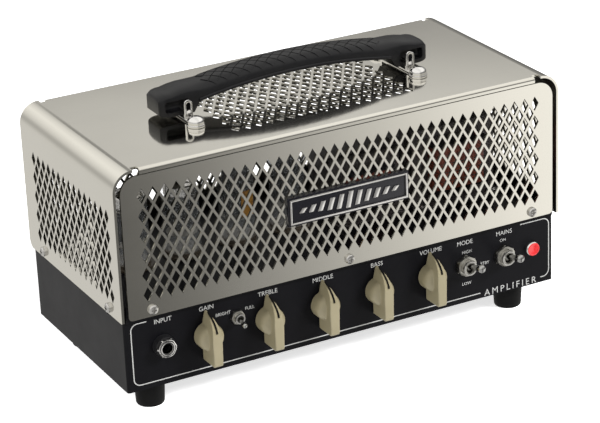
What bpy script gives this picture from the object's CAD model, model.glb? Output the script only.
# %% [markdown]
# # A small valve guitar amplifier head
#
# This lesson dresses a finished CAD model. The CAD gives every solid its size and its place, and
# here each one gets the finish of the real thing, or is modelled again where moulded and polished
# parts need softer shapes than the CAD has. Everything is in metres, with +Z up, the controls
# towards -Y, and the origin on the floor under the middle of the amplifier.

# %% Load the CAD frame
import math
import bmesh
import bpy
from mathutils import Matrix, Vector


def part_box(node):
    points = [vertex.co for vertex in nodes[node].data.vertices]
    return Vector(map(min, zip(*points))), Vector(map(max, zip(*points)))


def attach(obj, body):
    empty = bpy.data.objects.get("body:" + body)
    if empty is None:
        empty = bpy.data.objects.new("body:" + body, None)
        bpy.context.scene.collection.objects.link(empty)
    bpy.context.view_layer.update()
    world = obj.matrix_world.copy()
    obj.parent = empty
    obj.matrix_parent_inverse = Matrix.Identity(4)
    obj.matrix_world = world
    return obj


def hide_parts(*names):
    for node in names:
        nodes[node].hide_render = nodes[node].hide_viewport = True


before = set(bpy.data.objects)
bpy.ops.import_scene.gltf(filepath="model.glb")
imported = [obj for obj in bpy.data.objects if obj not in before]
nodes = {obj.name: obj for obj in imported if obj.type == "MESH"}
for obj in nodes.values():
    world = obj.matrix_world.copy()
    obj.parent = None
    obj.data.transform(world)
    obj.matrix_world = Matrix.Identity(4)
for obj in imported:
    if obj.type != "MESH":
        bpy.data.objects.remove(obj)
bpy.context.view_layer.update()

# %% [markdown]
# ## Ways to work
#
# An operator changes everything that is selected, so each step first selects exactly what it is
# to change. These few helpers do that: one starts a piece from a primitive, one goes into edit
# mode with the wanted corners, edges or faces selected, and one applies a modifier for good.

# %% Helpers for starting and selecting
MM = 0.001
X, Y, Z = Vector((1, 0, 0)), Vector((0, 1, 0)), Vector((0, 0, 1))


def only(piece):
    """Selects one piece and nothing else."""
    bpy.ops.object.select_all(action="DESELECT")
    piece.select_set(True)
    bpy.context.view_layer.objects.active = piece
    return piece


def start(name, primitive, location=(0, 0, 0), scale=(1, 1, 1), rotation=(0, 0, 0), **size):
    """Adds a primitive at its size and place, and applies them to the mesh."""
    bpy.ops.object.select_all(action="DESELECT")
    add = getattr(bpy.ops.mesh, "primitive_%s_add" % primitive)
    add(location=location, rotation=rotation, **size)
    piece = bpy.context.object
    piece.name = piece.data.name = name
    piece.scale = scale
    bpy.ops.object.transform_apply(location=True, rotation=True, scale=True)
    return piece


def block(name, low, high):
    """A box between two corners, in metres."""
    low, high = Vector(low), Vector(high)
    return start(name, "cube", (low + high) / 2, high - low, size=1)


def edit(piece, kind, test=lambda element: True):
    """Goes into edit mode with only what passes the test selected, and counts it. The kind is VERT,
    EDGE or FACE, and without a test everything is selected."""
    only(piece)
    bpy.ops.object.mode_set(mode="EDIT")
    bpy.ops.mesh.select_mode(type=kind)
    bpy.ops.mesh.select_all(action="DESELECT")
    shape = bmesh.from_edit_mesh(piece.data)
    found = 0
    for element in {"VERT": shape.verts, "EDGE": shape.edges, "FACE": shape.faces}[kind]:
        if test(element):
            element.select_set(True)
            found += 1
    shape.select_flush_mode()
    bmesh.update_edit_mesh(piece.data)
    return found


def done():
    """Back to object mode."""
    bpy.ops.object.mode_set(mode="OBJECT")


def middle(element):
    """The middle of an edge or a face."""
    corners = [corner.co for corner in element.verts]
    return sum(corners, Vector()) / len(corners)


print("ready: start, block, edit")


# %% Helpers for shaping
def modify(piece, kind, **settings):
    """Adds one modifier and applies it."""
    only(piece)
    modifier = piece.modifiers.new(kind, kind)
    for key, value in settings.items():
        setattr(modifier, key, value)
    bpy.ops.object.modifier_apply(modifier=modifier.name)
    return piece


def smooth(piece, degrees=35):
    """Smooth shading that keeps edges sharper than an angle."""
    only(piece)
    bpy.ops.object.shade_smooth_by_angle(angle=math.radians(degrees))
    return piece


def outward(piece):
    """Merges doubles and turns every face outwards."""
    edit(piece, "VERT")
    bpy.ops.mesh.remove_doubles(threshold=0.002 * MM)
    bpy.ops.mesh.normals_make_consistent(inside=False)
    done()
    return piece


def extrude(step):
    """Draws the selection out by a step, in metres."""
    bpy.ops.mesh.extrude_region_move(TRANSFORM_OT_translate={"value": step})


def close_ends(piece):
    """Fills every open end with a face, and turns all faces outwards."""
    if edit(piece, "EDGE", lambda edge: edge.is_boundary):
        bpy.ops.mesh.edge_face_add()
    done()
    return outward(piece)


def slice_at(piece, place, facing):
    """Cuts new edges where a plane crosses the piece, and leaves the piece whole."""
    edit(piece, "FACE")
    bpy.ops.mesh.bisect(plane_co=place, plane_no=facing)
    done()


print("ready: modify, smooth, extrude, slice_at")


# %% Helpers for copies and for the CAD's bodies
def twin(piece, name, shift=(0, 0, 0), matrix=None):
    """A copy with its own mesh, moved in its mesh."""
    mesh = piece.data.copy()
    mesh.transform(matrix or Matrix.Translation(shift))
    made = bpy.data.objects.new(name, mesh)
    mesh.name = name
    bpy.context.scene.collection.objects.link(made)
    return made


def join(name, pieces):
    """Makes several pieces one."""
    bpy.ops.object.select_all(action="DESELECT")
    for piece in pieces:
        piece.select_set(True)
    bpy.context.view_layer.objects.active = pieces[0]
    bpy.ops.object.join()
    pieces[0].name = pieces[0].data.name = name
    return pieces[0]


def boolean(piece, tool, operation):
    """Adds or cuts away another piece, which is used up."""
    modify(piece, "BOOLEAN", object=tool, operation=operation, solver="EXACT")
    bpy.data.objects.remove(tool)
    return piece


def place_of(node):
    """The middle of a CAD node's box."""
    low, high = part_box(node)
    return (low + high) / 2


def fit_out(piece, finish, stands_for=(), body="amplifier"):
    """Gives a piece its finish, its body and the CAD nodes that it stands for."""
    piece.data.materials.clear()
    piece.data.materials.append(finish)
    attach(piece, body)
    if stands_for:
        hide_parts(*stands_for)
    return piece


print("ready: twin, join, boolean, fit_out")

# %% [markdown]
# ## Camera
#
# A long lens a metre and a half away, above and to the left of the controls. The camera leans
# over by a little more than two degrees, so its axes are written out instead of tracked.

# %% Camera
CAMERA_PLACE = Vector((-0.62195, -1.19969, 0.64430))
CAMERA_TURN, CAMERA_DROP, CAMERA_LEAN = 0.4784, 0.3981, -0.0424

forward = Vector((math.sin(CAMERA_TURN) * math.cos(CAMERA_DROP),
                  math.cos(CAMERA_TURN) * math.cos(CAMERA_DROP), -math.sin(CAMERA_DROP)))
level = Vector((math.cos(CAMERA_TURN), -math.sin(CAMERA_TURN), 0))
rise = level.cross(forward)
right = level * math.cos(CAMERA_LEAN) + rise * math.sin(CAMERA_LEAN)
above = rise * math.cos(CAMERA_LEAN) - level * math.sin(CAMERA_LEAN)
lens = bpy.data.cameras.new("camera")
lens.lens = 148.13
lens.sensor_width = 36
lens.clip_start, lens.clip_end = 0.05, 50
camera = bpy.data.objects.new("camera", lens)
bpy.context.scene.collection.objects.link(camera)
camera.matrix_world = Matrix.Translation(CAMERA_PLACE) @ Matrix((right, above, -forward)).transposed().to_4x4()
bpy.context.scene.camera = camera
bpy.context.scene.view_settings.view_transform = "Standard"
print("camera distance", round(CAMERA_PLACE.length, 3))

# %% [markdown]
# ## Shader arithmetic
#
# A finish is a network of nodes. Written as nodes, "one minus the mask, times the grime" takes
# three boxes and five wires. The class below lets it be written as Python arithmetic: every
# operator adds its Math node. Any other node comes from `node`, which sets the node up first and
# then fills its sockets with values or links.

# %% Shader helpers
class Link:
    """The output of a node, for use in expressions."""

    def __init__(self, finish, socket):
        self.finish = finish
        self.socket = socket

    def math(self, operation, first, second=0.0):
        return self.finish.node("ShaderNodeMath", {"operation": operation}, {0: first, 1: second})

    def __add__(self, other):
        return self.math("ADD", self, other)

    def __sub__(self, other):
        return self.math("SUBTRACT", self, other)

    def __rsub__(self, other):
        return self.math("SUBTRACT", other, self)

    def __mul__(self, other):
        return self.math("MULTIPLY", self, other)

    def __pow__(self, other):
        return self.math("POWER", self, other)

    def __abs__(self):
        return self.math("ABSOLUTE", self)

    __radd__ = __add__
    __rmul__ = __mul__


class Finish:
    """A material in the making, with one Principled shader. Plain numbers and colours are set on
    the shader's own sockets."""

    def __init__(self, name, colour, roughness, metallic=0.0, **sockets):
        self.material = bpy.data.materials.new(name)
        self.material.use_nodes = True
        self.tree = self.material.node_tree
        self.shader = self.tree.nodes["Principled BSDF"]
        self.put("Base Color", colour if len(colour) == 4 else (*colour, 1))
        self.put("Roughness", roughness)
        self.put("Metallic", metallic)
        for key, value in sockets.items():
            self.put(key.replace("_", " "), value)

    def put(self, socket, value):
        """Sets or links one socket of the shader."""
        self.fill(self.shader.inputs[socket], value)
        return self

    def fill(self, socket, value):
        if isinstance(value, Link):
            self.tree.links.new(value.socket, socket)
        else:
            socket.default_value = value

    def node(self, kind, settings=None, sockets=None, output=0):
        """Adds a node: its settings first, then its sockets. Returns the wanted output."""
        made = self.tree.nodes.new(kind)
        for key, value in (settings or {}).items():
            if key == "stops":
                ramp = made.color_ramp
                while len(ramp.elements) < len(value):
                    ramp.elements.new(0.5)
                for element, (position, colour) in zip(ramp.elements, value):
                    element.position = position
                    element.color = colour
            else:
                setattr(made, key, value)
        for key, value in (sockets or {}).items():
            self.fill(made.inputs[key], value)
        return Link(self, made.outputs[output])

    def place(self, scale=(1, 1, 1), turn=(0, 0, 0), centre=(0, 0, 0)):
        """Object coordinates, moved, turned and stretched by a Mapping node."""
        where = self.node("ShaderNodeTexCoord", output="Object")
        return self.node("ShaderNodeMapping", {"vector_type": "POINT"},
                         {"Vector": where, "Location": centre, "Rotation": turn, "Scale": scale})

    def noise(self, scale, detail=2.0, roughness=0.5, at=None, stretch=(1, 1, 1)):
        """Smooth random blotches between 0 and 1."""
        return self.node("ShaderNodeTexNoise", None,
                         {"Vector": at or self.place(stretch), "Scale": scale, "Detail": detail,
                          "Roughness": roughness})

    def ramp(self, value, low, high, bottom=0.0, top=1.0):
        """Turns a range of values into another, and stops at both ends."""
        return self.node("ShaderNodeMapRange", {"clamp": True},
                         {"Value": value, "From Min": low, "From Max": high, "To Min": bottom, "To Max": top})

    def blend(self, amount, first, second):
        """Mixes two colours."""
        first = first if isinstance(first, Link) else (*first[:3], 1)
        second = second if isinstance(second, Link) else (*second[:3], 1)
        return self.node("ShaderNodeMix", {"data_type": "RGBA"}, {0: amount, 6: first, 7: second}, output=2)

    def bump(self, height, distance, strength=1.0):
        """Feeds a height to the shader's normal; distance is the relief in metres."""
        return self.put("Normal", self.node("ShaderNodeBump", None, {
            "Height": height, "Distance": distance, "Strength": strength}))

    def edges(self, radius):
        """About 1 along sharp edges and 0 on flats: how far a rounded normal leaves the true one."""
        rounded = self.node("ShaderNodeBevel", {"samples": 4}, {"Radius": radius})
        true = self.node("ShaderNodeNewGeometry", output="True Normal")
        same = self.node("ShaderNodeVectorMath", {"operation": "DOT_PRODUCT"}, {0: rounded, 1: true},
                         output="Value")
        return self.ramp(1 - same, 0.02, 0.25)

    def axes(self, vector):
        """The X, Y and Z of a vector, as three links."""
        split = self.node("ShaderNodeSeparateXYZ", None, {0: vector}).socket.node
        return [Link(self, output) for output in split.outputs]


print("ready: Link, Finish")


# %% [markdown]
# ## Studio
#
# A white floor under soft lights. Polished steel shows its surroundings more than itself, so the
# surroundings matter: the top shows what is behind and above, the front shows what is low in
# front of it, and the floor would turn all of it white. So the floor and the soft boxes are left
# out of reflections, and the world gives them instead: a darker side at the left of the front and
# a brighter one at the right, a pale sky over the top, and one thin dark line along the bends.

# %% Floor
floor = start("floor", "plane", size=14)
floor.visible_glossy = False
ground = Finish("pale floor", (0.93, 0.93, 0.93), 0.9, Emission_Color=(1, 1, 1, 1), Emission_Strength=0.7)
ground.put("Base Color", ground.blend(ground.noise(3, 4), (0.92, 0.92, 0.92), (0.94, 0.94, 0.94)))
floor.data.materials.append(ground.material)
print("floor is ready")

# %% World that the steel reflects
world = bpy.data.worlds.new("studio")
bpy.context.scene.world = world
world.use_nodes = True


class Surround(Finish):
    """The world's nodes, built with the same arithmetic as a finish."""

    def __init__(self, made):
        self.material = made
        self.tree = made.node_tree
        self.shader = self.tree.nodes["Background"]


sky = Surround(world)
toward_x, toward_y, toward_z = sky.axes(sky.node("ShaderNodeTexCoord", output="Generated"))
overhead = sky.ramp(toward_z, 0.315, 0.345, 0.30, 0.76) + sky.ramp(toward_z, 0.45, 0.52, 0.0, 0.34)
overhead = overhead * sky.ramp(toward_x, 0.33, 0.42, 0.85, 1.0)
dark_line = abs(toward_z - 0.45) + sky.ramp(toward_x, 0.25, 0.10) * 0.1
left_side = sky.ramp(toward_x, 0.12, -0.15)
overhead = overhead * (1 - left_side) + sky.ramp(toward_z, 0.10, 0.45, 0.62, 1.05) * left_side
overhead = overhead * sky.ramp(dark_line, 0.02, 0.06, 0.45, 1.0)
horizon = sky.ramp(abs(toward_z), 0.02, 0.22, sky.ramp(toward_x, -0.3, -0.1, 0.82, 0.35), 1.0)
behind = sky.ramp(toward_y, -0.3, 0.3)
right_card = sky.ramp(toward_x, 0.35, 0.51) ** 1.5 * 1.05 + 0.13
left_card = sky.ramp(toward_x, 0.30, -0.10, 0.10, 0.65)
in_front = sky.node("ShaderNodeMath", {"operation": "MAXIMUM"}, {0: right_card, 1: left_card})
low = sky.ramp(toward_z, 0.05, -0.15)
below = behind * 0.72 + (1 - behind) * in_front
mirrored = (overhead * (1 - low) + below * low) * horizon
glossy = sky.node("ShaderNodeLightPath", output="Is Glossy Ray")
filling = Link(sky, glossy.socket.node.outputs["Is Diffuse Ray"])
sky.put("Color", (1.0, 0.985, 0.955, 1))
FILL, BACKDROP = 0.14, 0.9
sky.put("Strength", mirrored * glossy + filling * FILL + (1 - glossy - filling) * BACKDROP)
print("the world lights from all round with strength", FILL)

# %% Soft boxes
BOX_SIDE, AIM = 0.62, Vector((0, 0, 0.05))


def lamp(name, place, power):
    """A square soft box that faces the amplifier and stays out of reflections."""
    light = bpy.data.lights.new(name, "AREA")
    light.shape = "RECTANGLE"
    light.size = light.size_y = BOX_SIDE
    light.energy = power
    made = bpy.data.objects.new(name, light)
    bpy.context.scene.collection.objects.link(made)
    place = Vector(place)
    facing = (AIM - place).to_track_quat("-Z", "Y").to_matrix().to_4x4()
    made.visible_glossy = False
    made.matrix_world = Matrix.Translation(place) @ facing
    return made


lamp("key soft box", (1.35, -1.45, 1.35), 80)
lamp("left soft box", (-1.5, -1.3, 1.3), 34)
print("soft boxes:", len(bpy.data.lights))

# %% [markdown]
# ## Finishes
#
# Each finish is read from the real amplifier: polished stainless sheet with fine polishing lines
# and finger marks, satin black powder coat with its orange peel, cream moulded knobs, a grained
# black handle, chrome, zinc, rubber, glass and the brown and green of what stands inside.

# %% Metals
def polished_steel():
    """Polished stainless outside, with fine lines left to right and faint smears; dull mill finish inside."""
    steel = Finish("polished steel", (0.74, 0.72, 0.65), 0.08, 1.0)
    across, depth, height = steel.axes(steel.place())
    low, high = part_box("cage_cover")
    bend = 12 * MM
    beside = steel.ramp(abs(across), high.x - bend, high.x, 0, bend)
    on_top = steel.ramp(height, high.z - bend, high.z, 0, bend)
    inside = (steel.ramp((beside * beside + on_top * on_top) ** 0.5, bend - 0.9 * MM, bend - 1.1 * MM)
              * steel.ramp(depth, low.y + 0.5 * MM, low.y + 1.0 * MM)
              * steel.ramp(depth, high.y - 1.0 * MM, high.y - 1.5 * MM))
    smears = steel.noise(14, 5, 0.6)
    lines = steel.noise(900, 2, 0.5, stretch=(0.012, 1, 1))
    edge = steel.edges(0.35 * MM)
    polish = steel.ramp(smears, 0.3, 0.7, 0.045, 0.085)
    steel.put("Roughness", polish + lines * 0.03 + edge * 0.08 + inside * 0.36)
    polished = steel.blend(smears, (0.72, 0.70, 0.63), (0.76, 0.74, 0.675))
    steel.put("Base Color", steel.blend(inside, polished, (0.17, 0.165, 0.14)))
    steel.bump(lines, 0.0015 * MM, 0.5)
    return steel.material


def chrome(name="bright chrome", roughness=0.07, colour=(0.82, 0.81, 0.79)):
    """Chrome plate with a soft haze of handling."""
    plate = Finish(name, colour, roughness, 1.0)
    haze = plate.noise(220, 4, 0.6)
    plate.put("Roughness", plate.ramp(haze, 0.35, 0.75, roughness, roughness + 0.12))
    plate.bump(plate.noise(600, 2), 0.002 * MM, 0.3)
    return plate.material


def zinc():
    """Bright zinc: greyer than chrome, with fine turning marks."""
    plate = Finish("zinc plate", (0.60, 0.59, 0.57), 0.3, 1.0)
    patches = plate.noise(260, 4, 0.6)
    plate.put("Base Color", plate.blend(patches, (0.52, 0.51, 0.49), (0.68, 0.67, 0.65)))
    plate.put("Roughness", plate.ramp(patches, 0.3, 0.7, 0.22, 0.38))
    plate.bump(plate.noise(1500, 2), 0.004 * MM, 0.4)
    return plate.material


STEEL = polished_steel()
CHROME = chrome()
SATIN = chrome("satin silver", 0.30)
NICKEL = chrome("satin nickel", 0.24, (0.50, 0.49, 0.45))
LEVER = chrome("dark chrome", 0.13, (0.44, 0.44, 0.43))
ZINC = zinc()
print("metals: polished steel, chrome and zinc")


# %% Paint, plastic and rubber
def powder_coat():
    """Satin black powder coat: orange peel, and edges rubbed a little shinier."""
    paint = Finish("black powder coat", (0.003, 0.003, 0.004), 0.36, Specular_IOR_Level=0.115)
    peel = paint.noise(700, 3, 0.5)
    dust = paint.noise(30, 6, 0.65)
    edge = paint.edges(0.5 * MM)
    paint.put("Base Color", paint.blend(dust, (0.0022, 0.0022, 0.003), (0.0045, 0.0045, 0.0055)))
    paint.put("Roughness", paint.ramp(dust, 0.3, 0.7, 0.33, 0.42) - edge * 0.08)
    paint.bump(peel, 0.02 * MM, 0.5)
    return paint.material


def moulded(name, dark, light, roughness, grain=900, depth=0.02, **more):
    """A moulded plastic: two near tones in soft clouds, and a fine grain."""
    plastic = Finish(name, light, roughness, **more)
    clouds = plastic.noise(90, 4, 0.55)
    plastic.put("Base Color", plastic.blend(clouds, dark, light))
    plastic.put("Roughness", plastic.ramp(clouds, 0.3, 0.7, roughness - 0.05, roughness + 0.05))
    plastic.bump(plastic.noise(grain, 3, 0.55), depth * MM, 0.5)
    return plastic.material


PAINT = powder_coat()
CREAM = moulded("cream knob plastic", (0.175, 0.153, 0.092), (0.21, 0.184, 0.115), 0.44, 500, 0.012,
                Coat_Weight=0.06)
GRIP = moulded("black handle plastic", (0.003, 0.003, 0.0035), (0.006, 0.006, 0.0065), 0.38, 1300, 0.04,
               Specular_IOR_Level=0.32)
GLOSS = moulded("black gloss plastic", (0.004, 0.004, 0.006), (0.008, 0.008, 0.010), 0.18, 400, 0.004,
                Specular_IOR_Level=0.3)
CASE = moulded("black case plastic", (0.006, 0.006, 0.0065), (0.011, 0.011, 0.012), 0.32, 900, 0.02,
               Specular_IOR_Level=0.35)
RUBBER = moulded("black foot rubber", (0.003, 0.003, 0.003), (0.006, 0.006, 0.006), 0.62, 700, 0.03,
                 Specular_IOR_Level=0.12)
INK = moulded("white panel ink", (0.27, 0.27, 0.26), (0.33, 0.33, 0.32), 0.5, 900, 0.004)
POINTER_INK = moulded("black pointer ink", (0.002, 0.002, 0.002), (0.004, 0.004, 0.004), 0.6, 900, 0.004,
                      Specular_IOR_Level=0.1)
print("paint, plastics, rubber and inks are mixed")


# %% What stands inside
def valve_glass():
    """Clear thin glass: mostly transparent, with reflections that rise at its edges."""
    glass = Finish("valve glass", (0.80, 0.83, 0.84), 0.03, IOR=1.5, Alpha=0.1)
    film = glass.noise(120, 3, 0.5)
    glass.put("Roughness", glass.ramp(film, 0.3, 0.7, 0.02, 0.07))
    glass.put("Alpha", glass.ramp(film, 0.3, 0.7, 0.06, 0.13))
    return glass.material


def laminations():
    """Varnished transformer iron: dark, with the fine lines of its stacked sheets."""
    iron = Finish("varnished laminations", (0.04, 0.036, 0.034), 0.42)
    sheets = iron.node("ShaderNodeTexWave", {"wave_type": "BANDS", "bands_direction": "Y"},
                       {"Vector": iron.place(), "Scale": 320.0, "Distortion": 0.4, "Detail": 2.0})
    patches = iron.noise(150, 4)
    stain = sheets * 0.7 + patches * 0.3
    iron.put("Base Color", iron.blend(stain, (0.018, 0.017, 0.018), (0.07, 0.062, 0.058)))
    iron.put("Roughness", iron.ramp(patches, 0.3, 0.7, 0.32, 0.5))
    iron.bump(sheets, 0.12 * MM, 0.6)
    return iron.material


GLASS = valve_glass()
IRON = laminations()
COIL = moulded("red brown coil tape", (0.12, 0.030, 0.018), (0.20, 0.055, 0.032), 0.45, 300, 0.06)
PLATE = moulded("dark valve plate", (0.012, 0.012, 0.012), (0.025, 0.025, 0.026), 0.42, 600)
MICA = moulded("mica", (0.20, 0.19, 0.16), (0.30, 0.28, 0.24), 0.3, 500, 0.01)
CERAMIC = moulded("socket moulding", (0.05, 0.04, 0.03), (0.085, 0.07, 0.052), 0.3, 300, 0.02)
BOARD = moulded("board green", (0.014, 0.085, 0.035), (0.03, 0.14, 0.06), 0.3, 700, 0.02)
SLEEVE = moulded("capacitor sleeve", (0.012, 0.02, 0.075), (0.02, 0.035, 0.12), 0.22, 300, 0.01)
SHAFT = chrome("turned aluminium", 0.25)
AMBER = moulded("amber print", (0.16, 0.03, 0.015), (0.62, 0.36, 0.07), 0.4, 260, 0.004)
GETTER = chrome("valve getter silver", 0.12)


def lamp_red():
    """The pilot lamp's lens, lit from inside: brighter and pinker towards its middle."""
    lens_red = Finish("pilot lamp red", (0.55, 0.02, 0.02), 0.16, Emission_Strength=0.07, Coat_Weight=0.6)
    cloud = lens_red.noise(900, 2)
    lens_red.put("Base Color", lens_red.blend(cloud, (0.36, 0.008, 0.012), (0.48, 0.02, 0.02)))
    lens_red.put("Emission Color", lens_red.blend(cloud, (0.55, 0.012, 0.02), (0.75, 0.05, 0.05)))
    lens_red.put("Roughness", lens_red.ramp(cloud, 0.3, 0.7, 0.12, 0.2))
    lens_red.bump(cloud, 0.01 * MM, 0.4)
    return lens_red.material


LAMP = lamp_red()
print("finishes in all:", len(bpy.data.materials))

# %% [markdown]
# ## Finishes for the CAD nodes
#
# Where the CAD shape is right, as on folded sheet, screws and sealed parts, only the finish
# changes. The table below gives every node its own.

# %% Give every CAD node its finish
CONTROLS = ("gain", "treble", "middle", "bass", "volume")
CORNERS = ("front_left", "front_right", "rear_left", "rear_right")
NODES_BY_FINISH = (
    (PAINT, "chassis bottom_plate"),
    (STEEL, "cage_cover front_grille rear_grille"),
    (CHROME, "emblem_frame emblem_motif handle_pins handle_bracket_left handle_bracket_right "
             "handle_screws jack_nuts pilot_lamp_bezel"),
    (ZINC, "handle_nuts foot_screws cage_screws bottom_screws potentiometers potentiometer_nuts "
           "tone_switch mode_switch mains_switch transformer_screws board_posts"),
    (NICKEL, "toggle_nuts"),
    (LEVER, "tone_switch_lever mode_switch_lever mains_switch_lever"),
    (CASE, "input_jack input_jack_collar speaker_jacks mains_inlet fuse_holder fuse_cap"),
    (GRIP, "handle_grip"), (GLOSS, "emblem_plate"), (LAMP, "pilot_lamp_lens"),
    (GLASS, "preamp_valve_1 preamp_valve_2 power_valve_1 power_valve_2"),
    (CERAMIC, "valve_sockets"), (IRON, "output_transformer mains_transformer"),
    (BOARD, "circuit_board"), (SLEEVE, "filter_capacitors"),
    (RUBBER, " ".join("foot_" + corner for corner in CORNERS)),
    (CREAM, " ".join(control + "_knob" for control in CONTROLS)),
    (SHAFT, " ".join(control + "_shaft" for control in CONTROLS)))
finish_of = {name: finish for finish, names in NODES_BY_FINISH for name in names.split()}
for name, node in nodes.items():
    node.material_slots[0].material = finish_of[name]
print("nodes with a finish:", len(nodes))

# %% [markdown]
# ## Folded, stamped and turned parts
#
# The CAD has the right shapes for these, but its edges are perfectly sharp, and nothing polished
# or plated is. A copy of each has its triangles merged, its flat faces made whole, and its edges
# rounded by a fraction of a millimetre, so that every edge catches a line of light.

# %% Rounded copies of CAD nodes
def rounded_copy(node, name, finish, width, slot="bright_chrome", body="amplifier"):
    """A copy of a CAD node with edges rounded by some millimetres, which then stands for the node."""
    piece = twin(nodes[node], name)
    only(piece)
    bpy.ops.mesh.customdata_custom_splitnormals_clear()
    edit(piece, "FACE")
    bpy.ops.mesh.remove_doubles(threshold=0.002 * MM)
    bpy.ops.mesh.dissolve_limited(angle_limit=math.radians(1), delimit={"NORMAL"})
    done()
    modify(piece, "BEVEL", width=width * MM, segments=2, limit_method="ANGLE",
           angle_limit=math.radians(30), use_clamp_overlap=True, harden_normals=False)
    smooth(piece)
    return fit_out(piece, finish, [node], body)


for row in (("handle_bracket_left", "left_strap", CHROME, 0.3),
            ("handle_bracket_right", "right_strap", CHROME, 0.3),
            ("emblem_plate", "emblem_base", GLOSS, 0.4, "emblem_black"),
            ("emblem_frame", "emblem_rail", SATIN, 0.22),
            ("emblem_motif", "emblem_bars", SATIN, 0.25),
            ("toggle_nuts", "switch_nuts", NICKEL, 0.18),
            ("jack_nuts", "socket_nuts", CHROME, 0.18),
            ("fuse_cap", "fuse_carrier_cap", CASE, 0.35, "case_plastic", "fuse_carrier"),
            ("mains_inlet", "mains_socket", CASE, 0.25, "case_plastic"),
            ("pilot_lamp_bezel", "pilot_ring", CHROME, 0.15)):
    rounded_copy(*row)
print("edges are softened on copies of ten nodes")

# %% [markdown]
# ## Pointer knobs
#
# A moulded knob in one piece: a domed round skirt and a blade through it, square at its tail and
# drawn out to a sharp tip. The skirt is a cylinder with a deep rounded rim. The blade is a box that
# is cut across at several heights and narrowed at each. The two are remeshed into one skin, which
# gives the soft inside corners of a moulding. It is made once and copied to all five shafts.

# %% Knob
SKIRT_RADIUS = 8.0 * MM
KNOB_BASE = 0.8 * MM
SKIRT_HEIGHT = 10.6 * MM
BLADE_OUT = 15.4 * MM
BLADE_HALF, BLADE_END = 3.1 * MM, 15 * MM
LINE_HALF = 0.52 * MM
panel_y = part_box("gain_knob")[1].y + KNOB_BASE
control_z = place_of("gain_knob").z


def make_knob():
    """One knob round the axis x = 0, z = 0, standing out from y = 0 towards -Y."""
    skirt = start("knob", "cylinder", (0, -(KNOB_BASE + SKIRT_HEIGHT) / 2, 0), rotation=(math.pi / 2, 0, 0),
                  radius=SKIRT_RADIUS, depth=SKIRT_HEIGHT - KNOB_BASE, vertices=64)
    edit(skirt, "EDGE", lambda edge: all(corner.co.y < -SKIRT_HEIGHT * 0.9 for corner in edge.verts))
    bpy.ops.mesh.bevel(offset=5.2 * MM, segments=8, profile=0.55)
    done()
    blade = block("blade", (-BLADE_HALF, -BLADE_OUT, -BLADE_END), (BLADE_HALF, -KNOB_BASE, BLADE_END))
    # height, half width and how far out the front is there, in millimetres
    stations = [(-15.0, 2.75, 14.6), (-13.8, 2.85, 15.4), (0.0, 3.05, 15.4), (4.5, 2.85, 15.3),
                (7.5, 2.45, 14.5), (10.0, 1.9, 12.7), (12.2, 1.4, 10.0), (13.8, 0.95, 7.2), (15.0, 0.6, 4.2)]
    for height, half, out in stations[1:-1]:
        slice_at(blade, Z * (height * MM), Z)
    for height, half, out in stations:
        for front_side in (True, False):
            edit(blade, "VERT", lambda corner: abs(corner.co.z - height * MM) < 0.05 * MM
                 and (corner.co.y < -8 * MM) == front_side)
            bpy.ops.transform.resize(value=(half / 3.1, 1, 1), center_override=(0, 0, 0))
            if front_side:
                bpy.ops.transform.translate(value=(0, BLADE_OUT - out * MM, 0))
            done()
    knob = boolean(skirt, blade, "UNION")
    modify(knob, "REMESH", mode="VOXEL", voxel_size=0.33 * MM)
    modify(knob, "SMOOTH", factor=0.5, iterations=3)
    only(knob)
    bpy.ops.object.shade_smooth()
    return knob, stations


def make_pointer_line(stations):
    """The black line let into the slope of the blade: a strip that follows it."""
    strip = start("pointer line", "plane", size=1)
    path = [(out * MM, height * MM) for height, width, out in stations if height >= 6.0]
    path.insert(0, (15.15 * MM, 5.6 * MM))
    edit(strip, "VERT", lambda corner: corner.co.y > 0)
    bpy.ops.mesh.delete(type="VERT")
    done()
    out, height = path[0]
    for corner, side in zip(strip.data.vertices, (-1, 1)):
        corner.co = (side * LINE_HALF, -out - 0.1 * MM, height)
    for (out, height), (next_out, next_height) in zip(path, path[1:]):
        edit(strip, "VERT", lambda corner: abs(corner.co.z - height) < 0.01 * MM)
        bpy.ops.mesh.select_mode(type="EDGE")
        extrude((0, out - next_out, next_height - height))
        done()
    modify(strip, "SOLIDIFY", thickness=0.4 * MM, offset=0)
    outward(strip)
    return smooth(strip)


knob, stations = make_knob()
pointer_line = make_pointer_line(stations)
for control in CONTROLS:
    axis = Vector((place_of(control + "_knob").x, panel_y, control_z))
    body = control + "_control"
    fit_out(twin(knob, control + "_pointer_knob", axis), CREAM, [control + "_knob"], body)
    fit_out(twin(pointer_line, control + "_pointer_line", axis), POINTER_INK, body=body)
for pattern in (knob, pointer_line):
    bpy.data.objects.remove(pattern)
print("knobs at z", round(control_z, 4))

# %% [markdown]
# ## Carrying handle
#
# The handle is one black moulding: an arched bar with a deep crown, a round bead along each lower
# edge, and hollow ends. It starts as a box with cuts across and along it. The cuts across are
# moved to the arch and those along are moved down to the crown, the sharp edges are rounded,
# and the hollows are cut from the ends. The diamonds of its upper face start as flat shapes above
# it. They are pressed down on the arch with a shrinkwrap and given their thickness there, so that
# they follow its crown.

# %% Sizes and curves of the handle
grip_low, grip_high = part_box("handle_grip")
grip_y = (grip_low.y + grip_high.y) / 2
GRIP_HALF, GRIP_LENGTH = 10.0 * MM, 88.0 * MM  # from the middle to its long side, and to its end
SHOULDER, ARCH_DROP = 80.0 * MM, 8.6 * MM  # where the arch of the top ends, and how far it falls
SPAN = 63.0 * MM  # half the arch underneath
END_ROUND = 7 * MM  # the length over which each end is rounded
RELIEF = 0.4 * MM  # how far the diamonds stand out
print("the handle is", round(2 * GRIP_LENGTH, 3), "m long")


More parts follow.
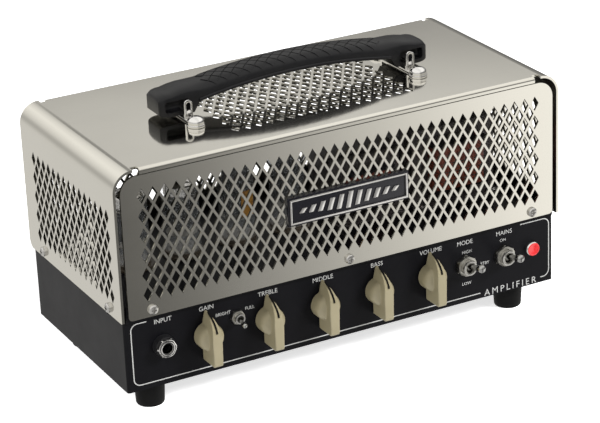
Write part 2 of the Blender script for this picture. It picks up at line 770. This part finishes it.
def end_curve(x):
    """0 along the bar, and rising to 1 round its end."""
    beyond = max(0.0, abs(x) - (GRIP_LENGTH - END_ROUND)) / END_ROUND
    return 1 - math.sqrt(max(0.0, 1 - beyond * beyond))


def toward_end(x):
    """0 along the gripped part, and 1 on the smooth ends, which are thicker and flatter."""
    return min(1.0, max(0.0, (abs(x) - 58 * MM) / (14 * MM)))


def grip_top(x):
    """Height of the arched top above a point."""
    reach = min(abs(x), SHOULDER) / SHOULDER
    return grip_high.z - RELIEF - ARCH_DROP * reach * reach + 1.6 * MM * toward_end(x) - 3.6 * MM * end_curve(x)


def grip_under(x):
    """Height of the underside: an arch between the ends, which reach down to the cage."""
    reach = abs(x) / SPAN
    if reach < 1:
        return grip_high.z - 9.6 * MM - 5.8 * MM * reach * reach
    return grip_low.z + 2.0 * MM * end_curve(x) if abs(x) > 66.4 * MM else grip_low.z + 5.6 * MM


def crown(y):
    """How far the crowned top falls away from its middle line."""
    return 5.8 * MM * (1 - math.sqrt(max(0.0, 1 - abs((y - grip_y) / GRIP_HALF) ** 2.7)))

# %% Handle grip
def make_grip():
    grip = block("grip", (-GRIP_LENGTH, grip_y - GRIP_HALF, grip_low.z),
                 (GRIP_LENGTH, grip_y + GRIP_HALF, grip_high.z))
    near_ends = (63, 66.5, 70, 75, 80, 82.5, 84.5, 86, 87, 87.7)
    stations = [i * 4.0 * MM for i in range(-15, 16)] + [way * x * MM for way in (-1, 1) for x in near_ends]
    for x in sorted(stations):
        slice_at(grip, X * x, X)
    lanes = [grip_y + way * offset * MM for way in (-1, 1) for offset in (2.5, 4.8, 6.6, 8.0, 9.0, 9.7)]
    for y in lanes:
        slice_at(grip, Y * y, Y)
    for y in lanes + [grip_y - GRIP_HALF, grip_y + GRIP_HALF]:
        edit(grip, "VERT", lambda corner: abs(corner.co.y - y) < 0.01 * MM
             and corner.co.z > grip_low.z + 9 * MM)
        bpy.ops.transform.translate(value=(0, 0, -crown(y)))
        done()
    for x in sorted(stations) + [-GRIP_LENGTH, GRIP_LENGTH]:
        for upper, height in ((True, grip_top(x) - grip_high.z), (False, grip_under(x) - grip_low.z)):
            edit(grip, "VERT", lambda corner: abs(corner.co.x - x) < 0.01 * MM
                 and (corner.co.z > grip_low.z + 7 * MM) == upper)
            bpy.ops.transform.translate(value=(0, 0, height))
            done()
        top = grip_top(x)
        edit(grip, "VERT", lambda corner: abs(corner.co.x - x) < 0.01 * MM and corner.co.z > top - 5.9 * MM)
        bpy.ops.transform.resize(value=(1, 1, 1 - 0.55 * toward_end(x)), center_override=(x, grip_y, top))
        done()
        edit(grip, "VERT", lambda corner: abs(corner.co.x - x) < 0.01 * MM)
        bpy.ops.transform.resize(value=(1, 1 - 0.24 * end_curve(x), 1), center_override=(x, grip_y, 0))
        done()
    return grip


grip = make_grip()
modify(grip, "BEVEL", width=0.9 * MM, segments=3, limit_method="ANGLE", angle_limit=math.radians(50),
       use_clamp_overlap=True)
hollows = []
for side in (-1, 1):
    for way in (-1, 1):
        x = sorted((side * 69.2 * MM, side * 84.6 * MM))
        y = sorted((grip_y + way * 4.0 * MM, grip_y + way * 14.0 * MM))
        hollow = block("hollow", (x[0], y[0], grip_low.z + 2.4 * MM), (x[1], y[1], grip_low.z + 9.2 * MM))
        hollows.append(modify(hollow, "BEVEL", width=1.8 * MM, segments=4, limit_method="ANGLE"))
boolean(grip, join("hollows", hollows), "DIFFERENCE")
smooth(grip, 62)
fit_out(grip, GRIP, ["handle_grip"], "handle").name = "handle_moulding"
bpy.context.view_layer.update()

# %% Beads along the lower edges of the handle
def make_bead(way):
    """A round bead that follows the underside's front or rear edge and turns up at its ends."""
    radius, nudge = 1.15 * MM, 0.02 * MM
    y = grip_y + way * (GRIP_HALF - 0.35 * MM)
    bead = start("bead", "circle", (-SPAN, y, grip_under(-SPAN * 0.999) + radius),
                 rotation=(0, math.pi / 2, 0), vertices=10, radius=radius)
    last = Vector((-SPAN, 0, grip_under(-SPAN * 0.999)))
    for i in range(-14, 15):
        x = i / 14.0 * SPAN * 0.999
        here = Vector((x, 0, grip_under(x)))
        edit(bead, "VERT", lambda corner: corner.co.x > last.x - 0.01 * MM)
        bpy.ops.mesh.select_mode(type="EDGE")
        extrude(here - last + X * nudge)
        done()
        last = here + X * nudge
    return smooth(close_ends(bead), 50)


beads = join("handle_beads", [make_bead(-1), make_bead(1)])
fit_out(beads, GRIP, body="handle")
print("bead corners:", len(beads.data.vertices))

# %% Moulded diamonds on top of the handle
DIAMOND_X, DIAMOND_Y = 7.4 * MM, 6.6 * MM
diamond = start("diamond", "circle", vertices=4, radius=1.0, fill_type="NGON")
edit(diamond, "FACE")
bpy.ops.mesh.subdivide(number_cuts=3)
done()
diamonds = []
for row in range(-2, 3):
    for i in range(-15, 16):
        if (i + row) % 2 == 0:
            shape = Matrix.Translation((i * DIAMOND_X / 2, grip_y + row * DIAMOND_Y / 2, grip_high.z + 3 * MM))
            narrow = 0.92 if abs(row) == 2 else 1
            shape = shape @ Matrix.Diagonal((0.45 * DIAMOND_X, 0.45 * DIAMOND_Y * narrow, 1, 1))
            diamonds.append(twin(diamond, "diamond", matrix=shape))
bpy.data.objects.remove(diamond)
diamonds = join("handle_diamonds", diamonds)
modify(diamonds, "SHRINKWRAP", target=grip, wrap_method="PROJECT", use_project_z=True,
       use_negative_direction=True, use_positive_direction=False)
modify(diamonds, "SOLIDIFY", thickness=RELIEF + 0.2 * MM, offset=1 - 0.4 * MM / (RELIEF + 0.2 * MM))
smooth(diamonds, 30)
fit_out(diamonds, GRIP, body="handle")
print("diamonds end at", round(max(corner.co.z for corner in diamonds.data.vertices), 5))

# %% [markdown]
# ## Domed screws of the handle
#
# The four screws have polished domes on a thin collar. A sphere is halved and flattened, and its
# rim is drawn in, down, out and down again, which leaves a groove above the collar.

# %% Domed screws
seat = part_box("handle_bracket_left")[0].z + 1.5 * MM
DOME_RADIUS = 5.2 * MM
dome = start("dome", "uv_sphere", segments=40, ring_count=20, radius=DOME_RADIUS)
edit(dome, "FACE")
bpy.ops.mesh.bisect(plane_co=(0, 0, 0), plane_no=(0, 0, 1), clear_inner=True)
done()
edit(dome, "VERT")
bpy.ops.transform.resize(value=(0.95, 0.95, 0.52), center_override=(0, 0, 0))
bpy.ops.transform.translate(value=(0, 0, 1.5 * MM))
done()
for scale_out, rise in ((0.965, 0.0), (1.0, -0.25 * MM), (1.053, 0.0), (1.0, -1.25 * MM)):
    edit(dome, "EDGE", lambda edge: edge.is_boundary)
    extrude((0, 0, rise))
    bpy.ops.transform.resize(value=(scale_out, scale_out, 1), center_override=(0, 0, 0))
    done()
smooth(close_ends(dome), 50)
shank = start("shank", "cylinder", (0, 0, -3.7 * MM), radius=1.95 * MM, depth=7.4 * MM, vertices=24)
smooth(shank)
dome = join("dome", [dome, shank])
left_end, right_end = place_of("handle_bracket_left"), place_of("handle_bracket_right")
reach = (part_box("handle_screws")[1].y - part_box("handle_screws")[0].y) / 2 - DOME_RADIUS
screws = [twin(dome, "screw", (end.x, end.y + way * reach, seat))
          for end in (left_end, right_end) for way in (-1, 1)]
bpy.data.objects.remove(dome)
fit_out(join("domed_screws", screws), CHROME, ["handle_screws"])
print("domed screws:", len(screws))

# %% [markdown]
# ## Turned parts
#
# Levers, rings, feet, lenses and the inside of a valve are all round about an axis. Each starts as
# one circle. The circle is extruded and scaled along a list of radii and heights, as on a lathe,
# and its open ends are closed. A profile that ends where it began makes a ring with a hole.

# %% Helper for turned parts
def turned(name, profile, vertices=32, degrees=35):
    """A round piece about Z from a list of (radius, height), in millimetres."""
    radius, height = profile[0]
    piece = start(name, "circle", (0, 0, height * MM), vertices=vertices, radius=radius * MM)
    edit(piece, "EDGE")
    for (last_radius, last_height), (radius, height) in zip(profile, profile[1:]):
        extrude((0, 0, (height - last_height) * MM))
        grow = radius / last_radius
        bpy.ops.transform.resize(value=(grow, grow, 1), center_override=(0, 0, 0))
    done()
    outward(piece)
    return smooth(close_ends(piece), degrees)


def facing_front(x, z, y=0.0, up=0.0, across=0.0):
    """Turns +Z towards the front, tips it up or across by degrees, and moves it to a place in millimetres."""
    turn = Matrix.Rotation(math.radians(across), 4, "Z") @ Matrix.Rotation(math.radians(-up), 4, "X")
    return Matrix.Translation((x * MM, y * MM, z * MM)) @ turn @ Matrix.Rotation(math.pi / 2, 4, "X")


print("ready: turned, facing_front")

# %% [markdown]
# ## Switch levers
#
# Each switch has a bat lever: a thin stem that swells to a rounded tip, plated bright. The tone
# switch is a smaller one and sits tipped to the left, and the other two are tipped up.

# %% Bat levers
CONTROL_ROW, PANEL = 42.5, -56.02  # height of the controls and y of the panel's face, in millimetres
LARGE_SWITCHES = (80.0, 107.0)


def make_lever(stem, tip, length, ball):
    """A bat lever from its ball in the bushing to its rounded tip."""
    swell = [(stem, 0.0), (stem, length * 0.12), (stem * 1.12, length * 0.45), (tip * 0.86, length * 0.72),
             (tip, length * 0.86), (tip * 0.97, length * 0.92), (tip * 0.80, length * 0.965),
             (tip * 0.5, length * 0.99), (tip * 0.12, length)]
    joint = [(ball * 0.12, -ball), (ball * 0.6, -ball * 0.8), (ball * 0.92, -ball * 0.4), (ball, 0),
             (ball * 0.92, ball * 0.4), (ball * 0.6, ball * 0.8), (stem, ball * 0.9)]
    return turned("lever", joint + [point for point in swell if point[1] > ball * 1.1], 24)


SMALL, LARGE = (0.85, 1.5, 13.0, 1.7), (1.35, 2.55, 18.2, 2.8)  # stem, tip, length and ball
mode_spot, mains_spot = (facing_front(x, CONTROL_ROW, PANEL - 3, up=16) for x in LARGE_SWITCHES)
for name, size, spot in (("tone", SMALL, facing_front(-72.0, 48.0, PANEL - 2, across=-9)),
                         ("mode", LARGE, mode_spot), ("mains", LARGE, mains_spot)):
    lever = make_lever(*size)
    fit_out(twin(lever, name + "_bat_lever", matrix=spot), LEVER,
            [name + "_switch_lever"], name + "_lever")
    bpy.data.objects.remove(lever)
    print(name, "lever", [round(v * 1000, 2) for v in place_of(name + "_switch_lever")])

# %% [markdown]
# ## Rings on the panel
#
# The input socket ends in a thick chrome ring with a rounded mouth. Each large switch has a thin
# bright ring where its bushing ends, and the pilot lamp has a dished red lens in a chrome ring.

# %% Socket ring, bushing rings and pilot lamp
socket_ring = turned("ring", [(3.0, 3.2), (3.0, 5.7), (3.2, 6.15), (3.7, 6.4), (4.35, 6.42), (4.9, 6.1),
                              (5.15, 5.4), (5.15, 3.2), (3.0, 3.2)], 48)
fit_out(twin(socket_ring, "socket_ring", matrix=facing_front(-118.7, CONTROL_ROW, PANEL)), CHROME)
bush_ring = turned("ring", [(2.95, 5.2), (2.95, 6.3), (3.1, 6.6), (3.5, 6.72), (3.9, 6.55), (4.05, 6.1),
                            (4.05, 5.2), (2.95, 5.2)], 40)
rings = [twin(bush_ring, "ring", matrix=facing_front(x, CONTROL_ROW, PANEL)) for x in LARGE_SWITCHES]
fit_out(join("bushing_rings", rings), NICKEL)
lens_glass = turned("lens", [(2.9, -12.0), (2.9, 3.2), (3.95, 3.2), (4.05, 3.25), (3.95, 3.34), (3.5, 3.34),
                             (2.6, 3.08), (1.6, 2.86), (0.7, 2.76), (0.05, 2.74)], 40, 60)
fit_out(twin(lens_glass, "pilot_lens", matrix=facing_front(126.5, CONTROL_ROW, PANEL)), LAMP,
        ["pilot_lamp_lens"])
for pattern in (socket_ring, bush_ring, lens_glass):
    bpy.data.objects.remove(pattern)
print("rings of the large switches:", len(rings))

# %% [markdown]
# ## Feet
#
# Four black rubber feet, a little narrower at the floor than at the top, with a rounded lower rim
# and a deep hole for the screw. One is turned and copied.

# %% Rubber feet
foot = turned("foot", [(2.2, 9.0), (4.6, 9.0), (4.6, 0.5), (5.0, 0.0), (7.2, 0.0), (7.9, 0.22), (8.28, 0.9),
                       (8.5, 4.5), (9.05, 15.4), (9.2, 16.0), (9.2, 16.8), (2.2, 16.8), (2.2, 9.0)], 48, 40)
for corner in CORNERS:
    spot = place_of("foot_" + corner)
    fit_out(twin(foot, "rubber_foot_" + corner, (spot.x, spot.y, 0)), RUBBER,
            ["foot_" + corner])
bpy.data.objects.remove(foot)
print("feet:", len(CORNERS))

# %% [markdown]
# ## Inside the valves
#
# Behind the perforated sheet the valves glint: a dark ribbed anode between two pale mica discs, the
# silver getter cap that coats the inside of the top, and a small coloured print on the glass.

# %% Valve parts
def make_valve_inside(name, x, low, high, top, fins):
    """Anode, mica discs and getter of one valve, in millimetres."""
    y = place_of(name).y
    wall = (high - low) / 6
    ribs = [(4.9, low)]
    for i in range(6):
        ribs += [(5.0, low + wall * (i + 0.25)), (5.6, low + wall * (i + 0.4)), (5.6, low + wall * (i + 0.6)),
                 (5.0, low + wall * (i + 0.75))]
    anode = turned("anode", ribs + [(4.9, high)], 20)
    anode.data.transform(Matrix.Diagonal((1.0, 0.66, 1, 1)))
    edges = [block("fin", (-fins * MM, -0.35 * MM, (low + 1) * MM), (fins * MM, 0.35 * MM, (high - 1) * MM))]
    for shift_x in (-7.4, 7.4):
        post = start("post", "cylinder", (shift_x * MM, 0, (low + high) / 2 * MM), radius=0.4 * MM,
                     depth=(high - low + 7) * MM, vertices=8)
        edges.append(post)
    anode = join(name + "_anode", [anode] + edges)
    disc = turned("mica", [(0.6, 0.0), (9.4, 0.0), (9.4, 0.5), (0.6, 0.5)], 20)
    discs = join(name + "_mica", [twin(disc, "disc", (0, 0, z * MM)) for z in (low - 1.2, high + 0.8)])
    bpy.data.objects.remove(disc)
    getter = turned(name + "_getter", [(9.9, top - 11), (9.95, top - 7.5), (9.2, top - 5.2), (7.6, top - 3.4),
                                       (5.2, top - 2.3), (2.2, top - 1.9), (0.4, top - 1.8)], 28, 60)
    for piece, finish in ((anode, PLATE), (discs, MICA), (getter, GETTER)):
        piece.data.transform(Matrix.Translation((x * MM, y, 0)))
        fit_out(piece, finish)


# node, x, then the anode's low and high end, the top of the glass and half the fins' width
for row in (("preamp_valve_1", -105, 78, 98, 112.6, 7.6), ("preamp_valve_2", -72, 78, 98, 112.6, 7.6),
            ("power_valve_1", -36, 80, 114, 135.6, 8.6), ("power_valve_2", -2, 80, 114, 135.6, 8.6)):
    make_valve_inside(*row)


# %% Printed patch on the glass
def make_print(name, x, low, high, turn, half_turn):
    """A thin printed patch that follows the glass, modelled as part of a tube."""
    patch = start(name, "cylinder", (0, 0, (low + high) / 2 * MM), radius=10.97 * MM, depth=(high - low) * MM,
                  vertices=72, end_fill_type="NOTHING")
    edit(patch, "FACE",
         lambda face: abs(math.degrees(math.atan2(middle(face).x, -middle(face).y)) - turn) > half_turn)
    bpy.ops.mesh.delete(type="FACE")
    done()
    patch.data.transform(Matrix.Translation((x * MM, place_of("power_valve_1").y, 0)))
    return smooth(patch, 60)


fit_out(make_print("valve_print", -36, 81.0, 97.0, 14, 26), AMBER)
print("one valve has its print")

# %% [markdown]
# ## Transformer windings
#
# Each transformer is a stack of thin iron sheets with the winding through it. The winding is
# wrapped in red-brown tape between two dark bobbin cheeks, and bulges out at front and rear.

# %% Windings and bobbin cheeks
def soft_block(x, y, half_x, out, low, high, radius, segments):
    """A block whose upright edges are rounded, in millimetres."""
    piece = block("block", ((x - half_x) * MM, (y - out) * MM, low * MM),
                  ((x + half_x) * MM, (y + out) * MM, high * MM))
    edit(piece, "EDGE", lambda edge: abs(edge.verts[0].co.z - edge.verts[1].co.z) > 1 * MM)
    bpy.ops.mesh.bevel(offset=radius * MM, segments=segments)
    done()
    return piece


def make_winding(x, y, half_x, out, low, high, corner):
    """The taped winding: a box with round corners and a shallow step for each turn of tape."""
    tape = soft_block(x, y, half_x, out, low, high, corner, 6)
    for i in range(1, 5):
        height = (low + (high - low) * i / 5) * MM
        for shift in (-0.3 * MM, 0, 0.3 * MM):
            slice_at(tape, Z * (height + shift), Z)
        edit(tape, "VERT", lambda point: abs(point.co.z - height) < 0.01 * MM)
        bpy.ops.transform.resize(value=(0.985, 0.985, 1), center_override=(x * MM, y * MM, height))
        done()
    return smooth(tape, 50)


iron_y = place_of("output_transformer").y * 1000
CHEEK_HALF = 0.6  # half the thickness of a bobbin cheek
windings, cheeks = [], []
for x, half_x, out, low, high, corner in ((45.0, 14.5, 22.95, 72.4, 94.0, 4.1),
                                          (103.0, 17.9, 29.8, 74.4, 102.0, 5.1)):
    windings.append(make_winding(x, iron_y, half_x, out, low, high, corner))
    cheeks += [smooth(soft_block(x, iron_y, half_x + 1.0, out + 0.6, z - CHEEK_HALF, z + CHEEK_HALF, 1.6, 4))
               for z in (low - CHEEK_HALF, high + CHEEK_HALF)]
fit_out(join("winding_tape", windings), COIL)
fit_out(join("bobbin_cheeks", cheeks), CASE)
print("windings and bobbin cheeks:", len(windings), len(cheeks))

# %% [markdown]
# ## Printing on the panel
#
# Thin white lettering names each control in plain words, and a thin line frames the panel, open at
# the top and where the lowest word stands. Letters are text objects turned into meshes. The frame
# is a rectangle with rounded corners, inset by the line's width, with the middle and the gaps cut
# out of it.

# %% Legends
PRINT_Y = panel_y - 0.035 * MM
CAPITALS = 0.72  # height of a capital in the font, as a part of its size


def legend(words, x, z, height, spread=1.0):
    """One printed word, centred on a place of the panel, with capitals of the given height in mm."""
    bpy.ops.object.select_all(action="DESELECT")
    bpy.ops.object.text_add(location=(0, 0, 0))
    text = bpy.context.object
    text.data.body = words
    text.data.size = height * MM / CAPITALS
    text.data.align_x, text.data.align_y = "CENTER", "CENTER"
    text.data.space_character = spread
    text.data.resolution_u = 3
    bpy.ops.object.convert(target="MESH")
    text = bpy.context.object
    text.data.transform(Matrix.Translation((x * MM, PRINT_Y, z * MM)) @ Matrix.Rotation(math.pi / 2, 4, "X"))
    return text


legends = [legend(*row) for row in (
    ("INPUT", -118.0, 57.5, 2.8), ("GAIN", -90.8, 58.1, 2.8), ("TREBLE", -51.8, 57.7, 2.8),
    ("MIDDLE", -16.0, 57.6, 2.8), ("BASS", 19.9, 57.6, 2.8), ("VOLUME", 56.5, 57.2, 2.8),
    ("MODE", 80.0, 56.8, 2.8), ("MAINS", 107.5, 56.9, 2.8), ("BRIGHT", -80.6, 51.8, 2.0),
    ("FULL", -63.6, 51.4, 2.0), ("HIGH", 81.3, 50.6, 2.0), ("STBY", 93.8, 40.4, 2.0), ("LOW", 81.0, 30.2, 2.0),
    ("ON", 106.6, 52.2, 2.0), ("AMPLIFIER", 111.8, 20.6, 4.3, 1.42))]
fit_out(join("panel_legends", legends), INK)
print("legends:", len(legends))

# %% Line frame
FRAME_LEFT, FRAME_RIGHT, FRAME_LOW, FRAME_HIGH, LINE = -138.1 * MM, 139.6 * MM, 21.1 * MM, 59.6 * MM, 0.62 * MM
frame_middle = ((FRAME_LEFT + FRAME_RIGHT) / 2, PRINT_Y, (FRAME_LOW + FRAME_HIGH) / 2)
line_frame = start("line_frame", "plane", frame_middle,
                   (FRAME_RIGHT - FRAME_LEFT, FRAME_HIGH - FRAME_LOW, 1), (math.pi / 2, 0, 0), size=1)
edit(line_frame, "VERT")
bpy.ops.mesh.bevel(offset=4.4 * MM, segments=8, affect="VERTICES")
done()
edit(line_frame, "FACE")
bpy.ops.mesh.inset(thickness=LINE, depth=0)
bpy.ops.mesh.delete(type="FACE")
done()
TOP_GAP, LOW_GAP = (-128.0 * MM, 119.0 * MM), (90.5 * MM, 133.2 * MM)
for x in TOP_GAP + LOW_GAP:
    slice_at(line_frame, X * x, X)


def in_gap(face):
    """Is this part of the line left out?"""
    x, z = middle(face).x, middle(face).z
    return (z > 50 * MM and TOP_GAP[0] < x < TOP_GAP[1]) or (z < 30 * MM and LOW_GAP[0] < x < LOW_GAP[1])


edit(line_frame, "FACE", in_gap)
bpy.ops.mesh.delete(type="FACE")
done()
fit_out(line_frame, INK)
print("line frame faces:", len(line_frame.data.polygons))

# %% [markdown]
# ## Size
#
# The dressed model keeps to the CAD's box, so both boxes are written down to be compared.

# %% Write both sizes and finish
print("both sizes are written")
